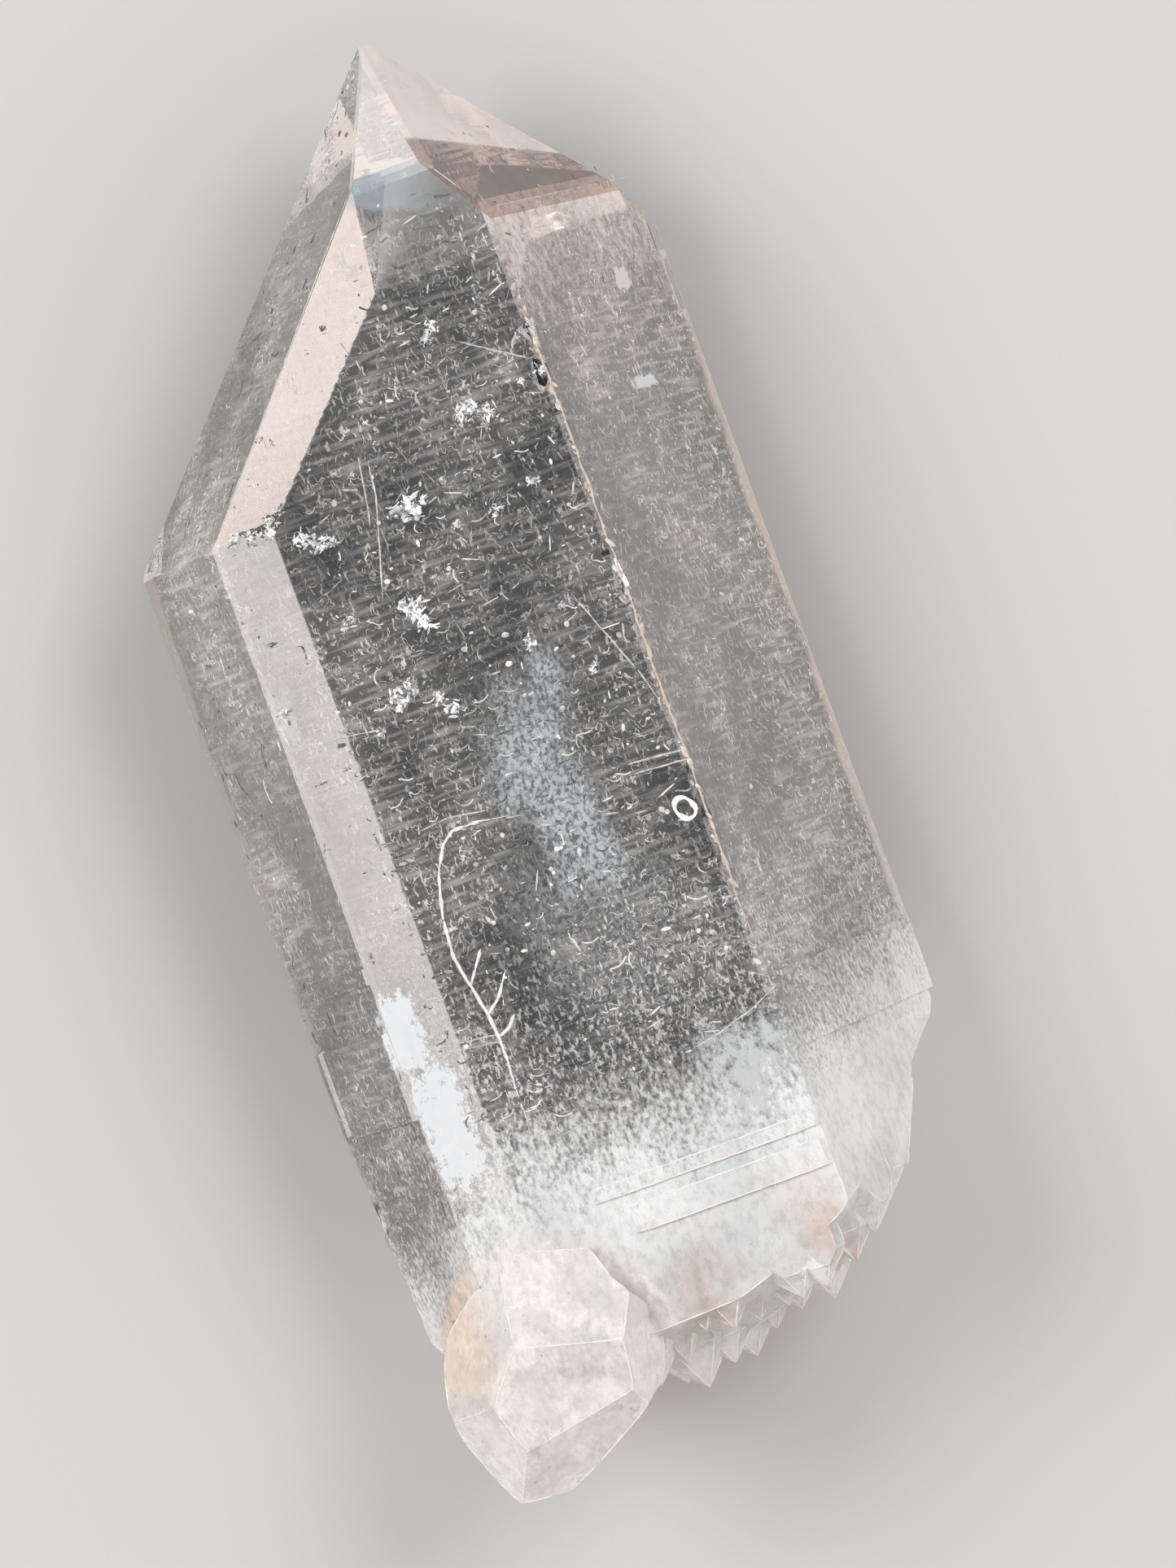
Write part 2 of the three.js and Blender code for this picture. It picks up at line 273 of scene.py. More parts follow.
class MaterialTree(TreeBuilder):
    """A material's node tree, with the place on the crystal in millimetres."""

    def __init__(self, name: str) -> None:
        """Start the material.

        Args:
            name: Name of the material.
        """
        self.material = bpy.data.materials.new(name)
        self.material.use_nodes = True
        super().__init__(self.material.node_tree)
        self.tree.nodes.clear()
        place = result(self.add("ShaderNodeTexCoord"), "Object")
        self.point = self.get("ShaderNodeMapping", {
            "Vector": place, "Scale": (1 / MM, 1 / MM, 1 / MM)})
        axes = self.add("ShaderNodeSeparateXYZ", {0: self.point})
        self.along, self.across, self.up = (result(axes, i) for i in range(3))

    def stretched(self, scale: Triple) -> Socket:
        """Return the place times a scale, given in waves or spots per millimetre."""
        return self.get("ShaderNodeMapping", {"Vector": self.point, "Scale": scale})

    def noise(self, scale: Triple, detail: float, roughness: float = 0.55) -> Socket:
        """Return a soft noise from 0 to 1, from its scale and its number of finer layers."""
        return self.get("ShaderNodeTexNoise", {
            "Vector": self.stretched(scale), "Scale": 1.0, "Detail": detail,
            "Roughness": roughness})

    def noises(self, scale: Triple, detail: float, distortion: float = 0.0) -> list[Socket]:
        """Return three unlike soft noises from 0 to 1.

        Args:
            scale: Waves per millimetre along each axis.
            detail: Number of finer layers.
            distortion: How far the waves are pulled about.

        Returns:
            The three noises.
        """
        noise = self.add("ShaderNodeTexNoise", {
            "Vector": self.stretched(scale), "Scale": 1.0, "Detail": detail,
            "Distortion": distortion})
        parts = self.add("ShaderNodeSeparateXYZ", {0: result(noise, "Color")})
        return [result(parts, i) for i in range(3)]

    def cells(self, scale: Triple, outer: float, inner: float) -> Socket:
        """Scatter separate spots, each with its own brightness.

        Args:
            scale: Spots per millimetre along each axis.
            outer: Reach at which a spot ends, in spacings.
            inner: Reach at which a spot is full.

        Returns:
            The mask.
        """
        cells = self.add("ShaderNodeTexVoronoi", {
            "Vector": self.stretched(scale), "Scale": 1.0, "Randomness": 1.0})
        spot = self.ramp(result(cells, "Distance"), outer, inner)
        level = self.add("ShaderNodeSeparateXYZ", {0: result(cells, "Color")})
        return self.math("MULTIPLY", spot, result(level, 0))

    def strongest(self, *masks: Socket) -> Socket:
        """Return the largest of several masks."""
        best = masks[0]
        for mask in masks[1:]:
            best = self.math("MAXIMUM", best, mask)
        return best

    def close(self, values: dict[str, Any]) -> Material:
        """End the tree with its surface.

        Args:
            values: Inputs of the surface by name.

        Returns:
            The material.
        """
        shader = self.get("ShaderNodeBsdfPrincipled", values)
        output = self.add("ShaderNodeOutputMaterial")
        self.tree.links.new(shader, output.inputs["Surface"])
        return self.material


@dataclass(frozen=True)
class Cloud:
    """A soft white patch on the front face.

    Its middle is a photograph pixel, its reach along and across the axis is in millimetres, and
    its strength is the share of light that it scatters.
    """

    x: float
    y: float
    long: float
    wide: float
    strength: float


@dataclass(frozen=True)
class QuartzFinish:
    """Rock crystal with clear growth faces, milky where its foot healed.

    Water-clear quartz shows bright and dark facets through itself. Etch marks too fine to feel
    and the milky foot scatter light, so they show pale against the dark inside. Some tints are
    painted light: reflections, highlights and shade on chosen facets, rims and patches.
    """

    clear: str = "#f6f7f7"
    pale: str = "#efe9e4"
    milky: str = "#f1f2f2"
    blush: str = "#ead2c2"
    rosy: str = "#f6f1ed"
    amber: str = "#f2d8c4"
    # Painted glow of the rims at the outline.
    rim_glow: str = "#e9ddd2"
    mauve: str = "#efe2dc"
    icy: str = "#eaeef1"
    # Painted shade on the right point facet below its pale top.
    shade: str = "#c4aca3"
    # Painted reflection: the pale blue that the band on the front face shows.
    sky: str = "#c2ccd4"
    speck: str = "#8f8178"
    milky_roughness: float = 0.16
    # Share of light that the etching, the rims (painted glow), the blue band (painted reflection)
    # and the white patches (painted highlights) scatter at most, and what is left of it on
    # surfaces seen from inside.
    etched_frost: float = 0.68
    rim_glow_frost: float = 0.65
    reflected_band_frost: float = 0.48
    glint_frost: float = 0.8
    inside_frost: float = 0.2
    # Height of the foot's grain and of the striae, in millimetres.
    grain_height: float = 0.05
    striae_height: float = 0.003
    # Half the thickness of the layer that counts as a growth face.
    plate_height: float = 0.16
    # Photograph rows between which the blue band and the pale upper facet end, both painted
    # reflections.
    reflected_band_end: Pair = (264.0, 250.0)
    reflected_top_end: Pair = (170.0, 166.0)
    # Middle of the short crystal, as a photograph pixel and a height, and the distances from it
    # at which its mask ends and is full.
    short_middle: Triple = (680, 1690, 11.0)
    short_reach: Pair = (4.4, 3.9)
    # Least and largest share of light that each face scatters: partly a real etched haze, partly a
    # painted reflection that gives each face a set tone.
    haze_and_reflection: tuple[tuple[Face, float, float], ...] = (
        (Face.RIGHT, 0.19, 0.3), (Face.LEFT, 0.2, 0.3), (Face.FRONT_POINT, 0.48, 0.64),
        (Face.LEFT_POINT, 0.14, 0.26), (Face.RIGHT_POINT, 0.18, 0.32), (Face.FRONT, 0.05, 0.12),
    )
    veils: tuple[Cloud, ...] = (
        Cloud(652, 905, 3.3, 2.0, 0.55), Cloud(700, 985, 3.6, 1.9, 0.6),
        Cloud(720, 1130, 3.8, 3.6, 0.26), Cloud(520, 300, 1.6, 2.2, 0.16),
    )
    # Patches of painted highlight, set where the facets glint.
    glint_patches: tuple[Cloud, ...] = (
        Cloud(495, 1272, 1.5, 0.75, 1.3), Cloud(552, 1388, 2.5, 0.95, 1.3),
        Cloud(930, 1330, 2.6, 1.8, 0.65), Cloud(345, 880, 1.2, 0.6, 0.4),
        Cloud(1003, 1570, 0.6, 0.5, 2.0), Cloud(1036, 1586, 0.5, 0.5, 2.0),
        Cloud(766, 326, 0.5, 0.3, 1.2), Cloud(793, 458, 0.26, 0.5, 1.0),
    )

    def material(self) -> Material:
        """Build the material.

        Returns:
            The quartz material.
        """
        t = MaterialTree("rock_crystal")
        on = {face: self._on_face(t, face) for face in Face}
        noise, other, third = t.noises((0.22, 0.36, 0.36), 3.0)
        straight = self._row(t)
        row = t.math("ADD", straight, t.ramp(other, 0.3, 0.7, -12.0, 12.0))
        fine = t.noise((2.6, 3.6, 3.6), 3.0, 0.75)
        foot = self._foot(t)
        rosy = self._side_crystal(t)
        # Etching is fainter off the growth faces and on the upper right facet, and denser at the
        # right rim.
        seen = t.math("MAXIMUM", 0.2, t.strongest(*(mask for face, mask in on.items()
                                                    if face is not Face.RIGHT_POINT)))
        by_rim = t.product(on[Face.RIGHT], t.ramp(t.up, 8.5, 4.5, 0.55, 1.0))
        crowding = t.math("MAXIMUM", by_rim, t.ramp(noise, 0.36, 0.6, 0.3, 1.0))
        etched = t.product(self._etching(t), crowding, seen,
                           t.ramp(t.along, 17.5, 13.0, 0.3, 1.0))
        # The rims are painted glow where light refracts at the outline.
        rim_glow = self._rim_glows(t, on, third)
        # The blue band that crosses the front face at its upper end is a painted reflection. The
        # chipped shoulder is mauve, and the top of the right point facet gets mauve as a painted
        # reflection.
        reflected_band = t.product(on[Face.FRONT], t.ramp(row, *self.reflected_band_end),
                         t.ramp(t.across, -3.6, -1.6, 0.35, 1.0))
        frayed = t.math("ADD", t.along, t.ramp(fine, 0.3, 0.7, -1.4, 1.4))
        shoulder = t.product(on[Face.RIGHT], t.ramp(frayed, 9.0, 15.0),
                             t.ramp(fine, 0.3, 0.6, 0.5, 1.0))
        reflected_top = t.product(on[Face.RIGHT_POINT], t.ramp(straight, *self.reflected_top_end))
        flushed = t.math("MAXIMUM", shoulder, reflected_top)
        # Each face's haze is partly a painted reflection. The left face is clearer towards the
        # foot.
        hazes_and_reflections = {face: t.product(on[face], t.ramp(noise, 0.38, 0.62, least, most))
                 for face, least, most in self.haze_and_reflection}
        hazes_and_reflections[Face.LEFT] = t.product(hazes_and_reflections[Face.LEFT], t.ramp(t.along, -5.0, -1.0, 0.65, 1.0))
        veil = t.product(on[Face.FRONT], self._clouds(t, self.veils, other))
        # The glint patches are painted highlights.
        patch = t.math("MINIMUM", self.glint_frost, self._clouds(t, self.glint_patches, fine))
        frost = t.strongest(
            t.product(foot, t.ramp(noise, 0.35, 0.6, 0.78, 0.93),
                      t.ramp(fine, 0.35, 0.55, 0.82, 1.0),
                      t.ramp(t.along, -14.5, -17.5, 1.0, 0.74)),
            t.product(rosy, self._cloudiness(t, fine)),
            t.product(rim_glow, self.rim_glow_frost), t.product(reflected_band, self.reflected_band_frost),
            t.math("ADD", t.strongest(*hazes_and_reflections.values()), t.product(etched, self.etched_frost)),
            t.product(flushed, t.ramp(third, 0.35, 0.6, 0.6, 0.78)),
            t.product(veil, t.ramp(t.noise((7.0, 9.0, 9.0), 1.0), 0.36, 0.62, 0.3, 1.0)),
            patch)
        # Frost seen from inside lets the light behind it through.
        inside = result(t.add("ShaderNodeNewGeometry"), "Backfacing")
        frost = t.product(frost, t.ramp(inside, 0.0, 1.0, 1.0, self.inside_frost))
        colour: Any = linear(self.clear)
        for tint, mask in (
                (self.pale, t.ramp(frost, 0.0, 0.3)),
                # icy tints the real veils and the painted highlight of the glint patches.
                (self.icy, t.ramp(t.math("ADD", veil, patch), 0.1, 0.5)),
                # sky paints the band's reflection; mauve the real shoulder and the top facet's
                # painted reflection.
                (self.rim_glow, rim_glow), (self.sky, reflected_band), (self.mauve, flushed),
                # Painted shade on the rest of the right point facet.
                (self.shade, t.product(on[Face.RIGHT_POINT], t.math("SUBTRACT", 1.0, reflected_top))),
                (self.milky, t.ramp(foot, 0.0, 0.7)), *self._foot_tints(t, rosy, third)):
            colour = t.blend(colour, tint, mask)
        cloudy = t.strongest(foot, t.product(rosy, 0.7), rim_glow, t.product(etched, 0.8))
        striae = t.noise((5.0, 0.5, 0.5), 0.0)
        grain = t.product(t.noise((1.6, 2.2, 2.2), 1.0), t.ramp(t.along, -10.5, -12.5))
        relief = t.math("MULTIPLY_ADD", grain, self.grain_height,
                        t.product(striae, self.striae_height))
        bump = t.get("ShaderNodeBump", {"Height": relief, "Strength": 1.0, "Distance": MM})
        return t.close({
            "Base Color": colour, "IOR": QUARTZ_IOR,
            "Roughness": t.ramp(cloudy, 0.0, 1.0, 0.0, self.milky_roughness),
            "Transmission Weight": t.math("SUBTRACT", 1.0, frost), "Normal": bump})

    def _on_face(self, t: MaterialTree, face: Face) -> Socket:
        """Return a mask that is 1 on one growth face and the thin plates on it."""
        spot, normal = (Vector(part) for part in face.value)
        height = t.vector("DOT_PRODUCT", t.point, tuple(normal))
        return t.math("COMPARE", height, spot.dot(normal), self.plate_height)

    @staticmethod
    def _row(t: MaterialTree) -> Socket:
        """Return the photograph's row of a place on the front face, in pixels."""
        turned = t.vector("DOT_PRODUCT", t.point, (
            -PIXELS_PER_MM * math.cos(AXIS_TURN), PIXELS_PER_MM * math.sin(AXIS_TURN), 0.0))
        first = (math.cos(AXIS_TURN) * (TIP_X * PIXELS_PER_MM + TIP_PIXEL)
                 - math.sin(AXIS_TURN) * (FRONT_LEFT_Y * PIXELS_PER_MM + EDGE_PIXEL))
        return t.math("ADD", turned, first)

    @staticmethod
    def _foot(t: MaterialTree) -> Socket:
        """Mask the milky foot.

        It fades out upwards through streaks and fine specks, and reaches higher at the right.

        Args:
            t: The material's tree.

        Returns:
            The mask, 1 in the foot.
        """
        streaks = t.noise((0.5, 0.9, 0.9), 4.0, 0.68)
        right = t.ramp(t.across, -3.0, -9.0, 0.0, -2.6)
        left = t.ramp(t.across, 5.0, 8.0, 0.0, 2.5)
        specks = t.noise((5.5, 9.0, 9.0), 1.0)
        curdled = t.math("ADD", t.math("MULTIPLY_ADD", streaks, 4.0, t.along),
                         t.ramp(specks, 0.3, 0.7, 1.3, -1.3))
        place = t.math("ADD", curdled, t.math("ADD", right, left))
        milk = t.ramp(place, -6.2, -11.8, smooth=True)
        dust = t.product(t.ramp(specks, 0.5, 0.66), t.ramp(place, -1.0, -8.0, 0.0, 0.7))
        return t.math("MAXIMUM", milk, dust)

    def _side_crystal(self, t: MaterialTree) -> Socket:
        """Return a mask that is 1 in the short crystal, by the distance from its middle."""
        away = t.vector("DISTANCE", t.point, tuple(photo_point(*self.short_middle)))
        return t.ramp(away, *self.short_reach, smooth=True)

    @staticmethod
    def _cloudiness(t: MaterialTree, fine: Socket) -> Socket:
        """Return how milky the short crystal is: clear in places, with frosted patches."""
        broad = t.ramp(t.noise((0.9, 0.9, 0.9), 1.0), 0.4, 0.58, 0.52, 0.76)
        return t.math("ADD", broad, t.ramp(fine, 0.4, 0.62, -0.08, 0.14))

    @staticmethod
    def _rim_glows(t: MaterialTree, on: dict[Face, Socket], ragged: Socket) -> Socket:
        """Mask the pale rims where the sloping side faces end at the outline: painted glow of
        light refracted there.

        Args:
            t: The material's tree.
            on: Masks of the faces.
            ragged: Noise that frays the rims.

        Returns:
            The mask, 1 on a rim.
        """
        height = t.math("ADD", t.up, t.ramp(ragged, 0.3, 0.7, -0.35, 0.35))
        right = t.product(on[Face.RIGHT], t.ramp(height, 3.7, 3.2))
        left = t.product(on[Face.LEFT], t.ramp(height, 7.6, 7.2, 0.0, 0.6))
        return t.math("MAXIMUM", right, left)

    @staticmethod
    def _clouds(t: MaterialTree, clouds: tuple[Cloud, ...], ragged: Socket) -> Socket:
        """Mask soft patches.

        Args:
            t: The material's tree.
            clouds: The patches.
            ragged: Noise that frays them.

        Returns:
            The share of scattered light.
        """
        shares = []
        fray = t.ramp(ragged, 0.3, 0.7, 0.5, -0.4)
        for cloud in clouds:
            middle = photo_point(cloud.x, cloud.y)
            centred = t.get("ShaderNodeMapping", {
                "Vector": t.point, "Scale": (1 / cloud.long, 1 / cloud.wide, 0.0),
                "Location": (-middle.x / cloud.long, -middle.y / cloud.wide, 0.0)})
            squared = t.vector("MULTIPLY", centred, centred)
            uneven = t.math("ADD", t.vector("LENGTH", squared), fray)
            shares.append(t.ramp(uneven, 1.0, 0.1, 0.0, cloud.strength, smooth=True))
        return t.strongest(*shares)

    @staticmethod
    def _etching(t: MaterialTree) -> Socket:
        """Mask fine etching: dashes along the axis, curls, soft blots and smears across it.

        Args:
            t: The material's tree.

        Returns:
            The mask, 1 on the brightest marks.
        """
        along = t.cells((1.6, 6.5, 6.5), 0.26, 0.12)
        winding, gate, patch = t.noises((2.7, 3.8, 3.8), 1.0, 1.2)
        off_line = t.math("ABSOLUTE", t.math("SUBTRACT", winding, 0.5))
        curls = t.product(t.ramp(off_line, 0.036, 0.012), t.ramp(gate, 0.46, 0.54), 0.95)
        blots = t.ramp(patch, 0.6, 0.72, 0.0, 0.3)
        smears = t.ramp(t.noise((6.0, 0.8, 0.8), 1.0), 0.46, 0.72, 0.0, 0.42)
        return t.strongest(along, curls, blots, smears)

    def _foot_tints(self, t: MaterialTree, rosy: Socket,
                    stain: Socket) -> list[tuple[str, Socket]]:
        """List the stains of the foot and the colours of the short crystal.

        Args:
            t: The material's tree.
            rosy: Mask of the short crystal.
            stain: Noise that places the stains.

        Returns:
            Colours and their masks.
        """
        near_end = t.ramp(t.along, -14.0, -16.2)
        specks = t.cells((2.2, 2.2, 2.2), 0.13, 0.06)
        return [
            (self.blush, t.product(t.ramp(stain, 0.5, 0.62, 0.0, 0.7), near_end)),
            (self.rosy, rosy),
            (self.amber, t.product(rosy, t.ramp(t.across, 6.4, 7.6, 0.0, 0.8),
                                   t.ramp(t.along, -18.2, -16.8))),
            (self.speck, t.product(
                specks, t.math("MAXIMUM", rosy, t.product(near_end, 0.6)), 0.6)),
        ]


@dataclass(frozen=True)
class FrostFinish:
    """Broken or etched quartz that scatters light, as crushed glass does.

    To the eye it is white where it catches the light and grey where it is thin, so each mark
    carries its own brightness.
    """

    name: str
    faint: str
    bright: str
    roughness: float = 0.45

    def material(self) -> Material:
        """Build the material.

        Returns:
            The frost material.
        """
        t = MaterialTree(self.name)
        level = t.add("ShaderNodeAttribute", attribute_name="brightness")
        speckle = t.ramp(t.noise((6.0, 6.0, 6.0), 1.0), 0.2, 0.8, -0.3, 0.3)
        total = t.math("ADD", result(level, "Fac"), speckle)
        colour = t.blend(linear(self.faint), self.bright, t.ramp(total, 0.0, 1.0))
        return t.close({"Base Color": colour, "IOR": QUARTZ_IOR, "Roughness": self.roughness})


@dataclass
class CrystalBody:
    """The crystal itself. Its shape is the CAD solid's, so it only gets its finish."""

    finish: QuartzFinish = QuartzFinish()

    def dress(self) -> None:
        """Give the CAD node the quartz material."""
        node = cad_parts["quartz_crystal"]
        material = self.finish.material()
        for slot in node.material_slots:
            slot.material = material
        log.info("quartz_crystal: dressed as %s", material.name)


class GeometryTree(TreeBuilder):
    """A geometry node tree with named inputs and one mesh coming out."""

    def __init__(self, name: str, inputs: dict[str, float]) -> None:
        """Start the tree.

        Args:
            name: Name of the tree.
            inputs: Default of each named input. A whole number makes a whole-number input.
        """
        super().__init__(bpy.data.node_groups.new(name, "GeometryNodeTree"))
        face = self.tree.interface
        face.new_socket("Geometry", in_out="INPUT", socket_type="NodeSocketGeometry")
        for label, value in inputs.items():
            kind = "NodeSocketInt" if isinstance(value, int) else "NodeSocketFloat"
            face.new_socket(label, in_out="INPUT", socket_type=kind).default_value = value
        face.new_socket("Geometry", in_out="OUTPUT", socket_type="NodeSocketGeometry")
        self.source = self.tree.nodes.new("NodeGroupInput")
        self.end = self.tree.nodes.new("NodeGroupOutput")

    def given(self, name: str) -> Socket:
        """Return the socket of a named input."""
        return self.source.outputs[name]

    def moved(self, geometry: Socket, offset: Socket) -> Socket:
        """Return geometry with each point moved by its offset."""
        return self.get("GeometryNodeSetPosition", {"Geometry": geometry, "Offset": offset})

    def chance(self, low: Any, high: Any, step: int) -> Socket:
        """Draw a random number or vector for each element.

        Args:
            low: Lower limit.
            high: Upper limit.
            step: Number of the draw, which is added to the tree's seed.

        Returns:
            The draws, of the lower limit's kind.
        """
        kind = {tuple: "FLOAT_VECTOR", int: "INT"}.get(type(low), "FLOAT")
        return self.get("FunctionNodeRandomValue", {
            "Min": low, "Max": high, "Seed": self.math("ADD", self.given("Seed"), step)},
            data_type=kind)

    def close(self, geometry: Socket, brightness: Socket, material: Material,
              domain: str = "INSTANCE") -> NodeTree:
        """Store the brightness, realize the instances, set the material and end the tree.

        Args:
            geometry: What comes out.
            brightness: Brightness of each part.
            material: The material of all its faces.
            domain: What carries a brightness of its own.

        Returns:
            The tree.
        """
        stored = self.get("GeometryNodeStoreNamedAttribute", {
            "Geometry": geometry, "Name": "brightness", "Value": brightness},
            data_type="FLOAT", domain=domain)
        real = self.get("GeometryNodeRealizeInstances", {"Geometry": stored})
        dressed = self.get("GeometryNodeSetMaterial", {"Geometry": real, "Material": material})
        self.tree.links.new(dressed, self.end.inputs["Geometry"])
        return self.tree


class EtchPattern:
    """Etch marks of six shapes, scattered on a flat face along or across the crystal's axis."""

    INPUTS = {
        "Density": 4.0, "Shortest": 0.12, "Longest": 0.8, "Slimness": 0.3, "Across Share": 0.4,
        "Faintness": 2.6, "Cluster Size": 2.5, "Cluster Cut": 0.42, "Seed": 1,
    }
    # Distances from the origin at which the marks end and start to fade, in millimetres.
    FADE = (100.0, 20.0)

    def __init__(self, material: Material) -> None:
        """Build the tree.

        Args:
            material: The marks' material.
        """
        g = GeometryTree("etch_pattern", self.INPUTS)
        points = g.add("GeometryNodeDistributePointsOnFaces", {
            "Mesh": g.given("Geometry"), "Density": self._crowding(g), "Seed": g.given("Seed")})
        draw = g.chance(0.0, 1.0, 3)
        span = g.math("SUBTRACT", g.given("Longest"), g.given("Shortest"))
        length = g.math("ADD", g.product(g.math("POWER", draw, 2.5), span), g.given("Shortest"))
        width = g.math("ADD", g.product(length, 0.4), g.given("Slimness"))
        size = g.get("ShaderNodeCombineXYZ", {"X": length, "Y": width, "Z": 0.25})
        marks = g.get("GeometryNodeInstanceOnPoints", {
            "Points": result(points, "Points"), "Instance": self._shapes(g),
            "Pick Instance": True, "Instance Index": g.chance(0, 5, 6),
            "Rotation": self._lay(g, result(points, "Normal")), "Scale": size})
        bright = g.math("POWER", g.chance(0.0, 1.0, 5), g.given("Faintness"))
        self.tree = g.close(marks, bright, material)

    def _crowding(self, g: GeometryTree) -> Socket:
        """Return the density, which is uneven and falls off far from the origin."""
        spot = g.get("GeometryNodeInputPosition")
        noise = g.get("ShaderNodeTexNoise", {
            "Vector": spot, "Scale": g.math("DIVIDE", 1.0, g.given("Cluster Size")),
            "Detail": 3.0})
        low = g.given("Cluster Cut")
        crowd = g.ramp(noise, low, g.math("ADD", low, 0.2), 0.12, 1.0)
        fade = g.ramp(g.vector("LENGTH", spot), *self.FADE, smooth=True)
        return g.product(crowd, fade, g.given("Density"))

    @staticmethod
    def _lay(g: GeometryTree, normal: Socket) -> Socket:
        """Lay each mark flat on its face.

        Args:
            g: The tree.
            normal: The face's normal.

        Returns:
            The rotation, along or across the crystal's axis and a little uneven.
        """
        upright = g.get("FunctionNodeAlignRotationToVector", {"Vector": normal}, axis="Z")
        along = g.get("FunctionNodeAlignRotationToVector", {
            "Rotation": upright, "Vector": (1.0, 0.0, 0.0)}, axis="X", pivot_axis="Z")
        turned = g.math("LESS_THAN", g.chance(0.0, 1.0, 1), g.given("Across Share"))
        angle = g.math("ADD", g.product(turned, math.pi / 2), g.chance(-0.45, 0.45, 2))
        twist = g.get("FunctionNodeAxisAngleToRotation", {
            "Axis": (0.0, 0.0, 1.0), "Angle": angle})
        return g.get("FunctionNodeRotateRotation", {
            "Rotation": along, "Rotate By": twist}, rotation_space="LOCAL")

    def _shapes(self, g: GeometryTree) -> Socket:
        """Return two dashes, an arc, a squiggle and two grains as instances, up to 1 long."""
        ball = g.get("GeometryNodeMeshIcoSphere", {"Radius": 0.5, "Subdivisions": 1})
        solid = [g.get("GeometryNodeTransform", {"Geometry": ball, "Scale": scale})
                 for scale in ((1.0, 0.15, 0.12), (1.3, 0.1, 0.1), (0.42, 0.36, 0.14),
                               (0.6, 0.24, 0.14))]
        parts = [g.get("GeometryNodeGeometryToInstance", {"Geometry": part})
                 for part in (*solid, self._bar(g, 1.0, 0.17), self._bar(g, 1.6, 0.08))]
        joined = g.add("GeometryNodeJoinGeometry")
        for part in parts:
            g.tree.links.new(part, joined.inputs[0])
        return result(joined)

    @staticmethod
    def _bar(g: GeometryTree, waves: float, bow: float) -> Socket:
        """Draw a thin bar that bends sideways.

        Args:
            g: The tree.
            waves: Number of bends.
            bow: How far it bends.

        Returns:
            The bar's mesh.
        """
        line = g.get("GeometryNodeCurvePrimitiveLine", {
            "Start": (-0.5, 0.0, 0.0), "End": (0.5, 0.0, 0.0)})
        fine = g.get("GeometryNodeResampleCurve", {"Curve": line, "Count": 7})
        share = g.get("GeometryNodeSplineParameter")
        swing = g.math("SINE", g.product(share, waves * math.pi))
        aside = g.get("ShaderNodeCombineXYZ", {"Y": g.product(swing, bow)})
        bent = g.moved(fine, aside)
        ring = g.get("GeometryNodeCurvePrimitiveCircle", {"Resolution": 4, "Radius": 0.055})
        return g.get("GeometryNodeCurveToMesh", {
            "Curve": bent, "Profile Curve": ring, "Fill Caps": True})


@dataclass
class EtchedFaces:
    """Fine white etch marks on the faces that the light catches."""

    finish: FrostFinish = FrostFinish("etch_frost", faint="#56595c", bright="#f4f2ee")
    inset: float = 0.03

    def corners(self, side: Face) -> list[Vector]:
        """Give the corners of a face, a little inside its edges.

        Args:
            side: The face.

        Returns:
            The corners in millimetres.
        """
        outlines = {
            Face.FRONT: [photo_point(x, y) for x, y in (
                (426, 255), (430, 385), (344, 656), (518, 1255), (575, 1400), (700, 1400),
                (965, 1270), (598, 255), (520, 202))],
            Face.RIGHT: (
                (14.9, -4.326, 11.172), (-8.7, -4.326, 11.172), (-8.7, -9.0, 3.08),
                (13.5, -9.0, 3.08)),
            Face.LEFT: (
                (8.37, 6.674, 11.172), (8.37, 9.074, 7.015), (-13.0, 9.074, 7.015),
                (-13.0, 6.674, 11.172)),
            Face.LEFT_POINT: (
                (8.37, 6.674, 11.172), (8.37, 9.074, 7.015), (21.1, -2.42, 7.65),
                (16.97, -0.8, 11.172)),
            Face.RIGHT_POINT: (
                (15.07, -4.326, 11.172), (15.07, -8.6, 3.77), (21.1, -2.65, 7.5)),
        }
        outline = [Vector(point) for point in outlines[side]]
        middle = sum(outline, Vector()) / len(outline)
        return [corner.lerp(middle, self.inset) for corner in outline]

    def build(self) -> list[Object]:
        """Scatter the marks.

        Returns:
            One object of marks for each face.
        """
        pattern = EtchPattern(self.finish.material())
        plan = {
            Face.FRONT: {"Density": 19.0, "Across Share": 0.6, "Longest": 0.6, "Seed": 11},
            Face.RIGHT: {"Density": 2.5, "Across Share": 0.6, "Cluster Size": 3.5,
                         "Cluster Cut": 0.36, "Faintness": 0.8, "Longest": 0.6, "Seed": 23},
            Face.LEFT: {"Density": 7.0, "Across Share": 0.2, "Seed": 37},
            Face.LEFT_POINT: {"Density": 3.0, "Across Share": 0.1, "Longest": 0.6, "Seed": 41},
            Face.RIGHT_POINT: {"Density": 3.0, "Across Share": 0.3, "Longest": 0.5, "Seed": 47},
        }
        pieces = []
        for side, values in plan.items():
            corners = self.corners(side)
            patch = plain_mesh(f"etch_marks_{side.name.lower()}", corners, [],
                               [tuple(range(len(corners)))])
            pieces.append(grown(patch, pattern.tree, values))
        return pieces


